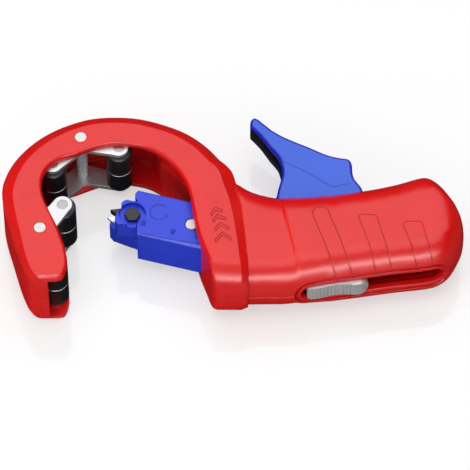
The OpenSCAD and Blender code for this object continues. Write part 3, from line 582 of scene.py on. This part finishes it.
# Grip's near side: how far it moves out, by depth and then as a share by x
FULLER = [(3.4, 0), (5, 0.7), (7, 1.6), (9, 2.2), (11, 2.2), (13, 1.6), (15.5, 0.4), (16.4, 0)]
FULLER_ALONG = [(80, 0), (95, 0.9), (110, 1), (146, 1), (154, 0)]
FULLER_FADE = 8
GRIP_MIDDLE = -18
# Pieces with rounded edges: the rounding in millimetres, and the height in metres over which
# an edge is rounded
HOLLOW_Z = 5.3 * MM     # half the height of the trigger's hollow
ROUNDED = {
    "trigger": (1.3, HOLLOW_Z), "carriage": (0.7, 0), "blade_clamp": (0.4, 0),
    "rear_rocker_plate_upper": (0.3, 0), "rear_rocker_plate_lower": (0.3, 0),
    "tip_rocker_plate_upper": (0.3, 0), "tip_rocker_plate_lower": (0.3, 0),
    "rear_rocker_pin": (0.3, 0), "tip_rocker_pin": (0.3, 0), "guide_pin": (0.3, 0),
    "clamp_screw": (0.3, 0), "size_slider": (0.12, 0),
}
ROUNDED_FROM = 0.6      # angle between faces, in radians
# Angles in degrees from which an edge stays sharp
SHARP = {"size_slider": 18, "housing_upper": 19, "housing_lower": 19}
SHARP_ELSE = 35
LINE_Z = 0.5 * MM       # half the width of a roller's ground line
UPRIGHT = 0.1           # a face's normal rises less than this where it stands upright
LEVEL = 0.98            # and more than this where it is level


def shape(piece, node):
    """Gives the piece its rounded edges, its second materials and its smooth shading."""
    if node == "trigger":
        paint(piece, trigger_inside, lambda face, heights: max(heights) < HOLLOW_Z)
    if node in ROUNDED:
        width, top = ROUNDED[node]
        round_edges(piece, width * MM, lambda e: outer_edge(e, top), clamp=node != "trigger")
    if node == "trigger":
        # The sloping faces of the rounded edges get deeper blue: painted shade along the rim
        paint(piece, trigger_rim_painted_shade, lambda face, heights:
              face.material_index == 0 and UPRIGHT < abs(face.normal.z) < LEVEL)
    if node.startswith("roller"):
        paint(piece, ground_line, lambda face, heights: max(heights) < LINE_Z)
    if node in ("rear_rocker_pin", "tip_rocker_pin"):
        paint(piece, chrome, lambda face, heights: abs(face.normal.z) < UPRIGHT)
    if node in ("housing_upper", "housing_lower"):
        ease_collar(piece)
        fill_grip(piece)
        fill_corner(piece, 1 if node == "housing_upper" else -1)
    smooth(piece, SHARP.get(node, SHARP_ELSE))


def mark(piece, node):
    """Engraves the piece."""
    if node == "housing_upper":
        # The panel and chevron grooves get darker red faces: painted shade in the lines
        engrave(piece, [rounded_line(p) for p in PANELS], PANEL_GROOVE, red_groove_painted_shade)
        engrave(piece, [chevron_outline(p) for p in CHEVRONS], CHEVRON_GROOVE, red_groove_painted_shade,
                closed=True)
    if node == "trigger":
        # The groove's faces get darker blue: painted shade in the line
        engrave(piece, [rounded_line(TRIGGER_LINE)], TRIGGER_GROOVE, blue_groove_painted_shade)
    if node == "carriage":
        dial = arc(DIAL_AT, DIAL_R, DIAL_FROM, DIAL_TO)
        # The dial and edge line get darker blue faces: painted shade in the grooves
        engrave(piece, [dial, EDGE_LINE], CARRIAGE_GROOVE, blue_groove_painted_shade)
        for text, place in NUMBERS:
            engrave_number(piece, text, place)


for node in FINISHES:
    piece = copied(node)
    shape(piece, node)
    mark(piece, node)
    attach(piece, body_name(node))
    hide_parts(node)
    if node == "carriage_spring":
        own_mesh(piece)


# Floor, lamps and surroundings
FLOOR_SHARE = 0.55      # of plain white in what the camera sees of the floor
MIRROR_SHARE = 0.08     # of gloss in the floor


def make_floor():
    """The pale floor that the cutter lies on."""
    half = 3
    mesh = bpy.data.meshes.new("floor")
    mesh.from_pydata([(-half, -half, FLOOR_Z), (half, -half, FLOOR_Z),
                      (half, half, FLOOR_Z), (-half, half, FLOOR_Z)], [], [(0, 1, 2, 3)])
    floor = linked("floor", mesh)
    material, nodes, links, shader = new_material("white_floor")
    shader.inputs["Base Color"].default_value = (0.93, 0.93, 0.93, 1)
    shader.inputs["Roughness"].default_value = 1
    shader.inputs["Specular IOR Level"].default_value = 0
    mirror = nodes.new("ShaderNodeBsdfGlossy")
    mirror.inputs["Color"].default_value = (1, 1, 1, 1)
    mirror.inputs["Roughness"].default_value = 0.06
    both = nodes.new("ShaderNodeMixShader")
    both.inputs["Fac"].default_value = MIRROR_SHARE
    links.new(shader.outputs[0], both.inputs[1])
    links.new(mirror.outputs[0], both.inputs[2])
    # Paper white where the camera looks, with the shadow kept at part of its strength
    rays = nodes.new("ShaderNodeLightPath")
    share = nodes.new("ShaderNodeMath")
    share.operation = "MULTIPLY"
    share.inputs[1].default_value = FLOOR_SHARE
    glow = nodes.new("ShaderNodeEmission")
    seen = nodes.new("ShaderNodeMixShader")
    links.new(rays.outputs["Is Camera Ray"], share.inputs[0])
    links.new(share.outputs[0], seen.inputs["Fac"])
    links.new(both.outputs[0], seen.inputs[1])
    links.new(glow.outputs[0], seen.inputs[2])
    links.new(seen.outputs[0], nodes["Material Output"].inputs["Surface"])
    floor.data.materials.append(material)
    floor.visible_glossy = False


def make_lamp(name, offset, size, radiance, diffuse=True, glossy=True):
    """A soft box at offset from the point looked at, which it faces."""
    data = bpy.data.lights.new(name, "AREA")
    data.shape = "RECTANGLE"
    data.size, data.size_y = size
    data.energy = radiance * math.pi * size[0] * size[1]
    at = LOOK_AT + Vector(offset)
    lamp = linked(name, data)
    lamp.location = at
    lamp.rotation_euler = (LOOK_AT - at).to_track_quat("-Z", "Y").to_euler()
    lamp.visible_diffuse = diffuse
    lamp.visible_glossy = glossy


make_floor()
mirrored = Vector((0, math.cos(ELEVATION), math.sin(ELEVATION)))
make_lamp("back_box", mirrored * 1.3, (1.8, 0.9), 1.8)
make_lamp("top_box", (0, -0.15, 1.2), (1.6, 0.8), 2.2)
make_lamp("front_box", (0, -1.0, 0.75), (1.6, 0.7), 1.15, glossy=False)
make_lamp("left_box", (-1.1, -0.6, 0.55), (0.8, 0.8), 2.6, glossy=False)
make_lamp("strip_box", (0, -1.15, 0.52), (1.6, 0.26), 13, diffuse=False)

# A dome that is dark at the horizon and light overhead
world = bpy.data.worlds.new("studio")
bpy.context.scene.world = world
world.use_nodes = True
nodes, links = world.node_tree.nodes, world.node_tree.links
direction = nodes.new("ShaderNodeTexCoord")
height = nodes.new("ShaderNodeSeparateXYZ")
brightness = nodes.new("ShaderNodeMapRange")
brightness.interpolation_type = "SMOOTHSTEP"
brightness.inputs["From Min"].default_value = 0.25
brightness.inputs["From Max"].default_value = 0.8
brightness.inputs["To Min"].default_value = 0.06
brightness.inputs["To Max"].default_value = 0.9
links.new(direction.outputs["Generated"], height.inputs[0])
links.new(height.outputs["Z"], brightness.inputs["Value"])
links.new(brightness.outputs["Result"], nodes["Background"].inputs["Strength"])
bpy.context.scene.view_settings.view_transform = "Standard"
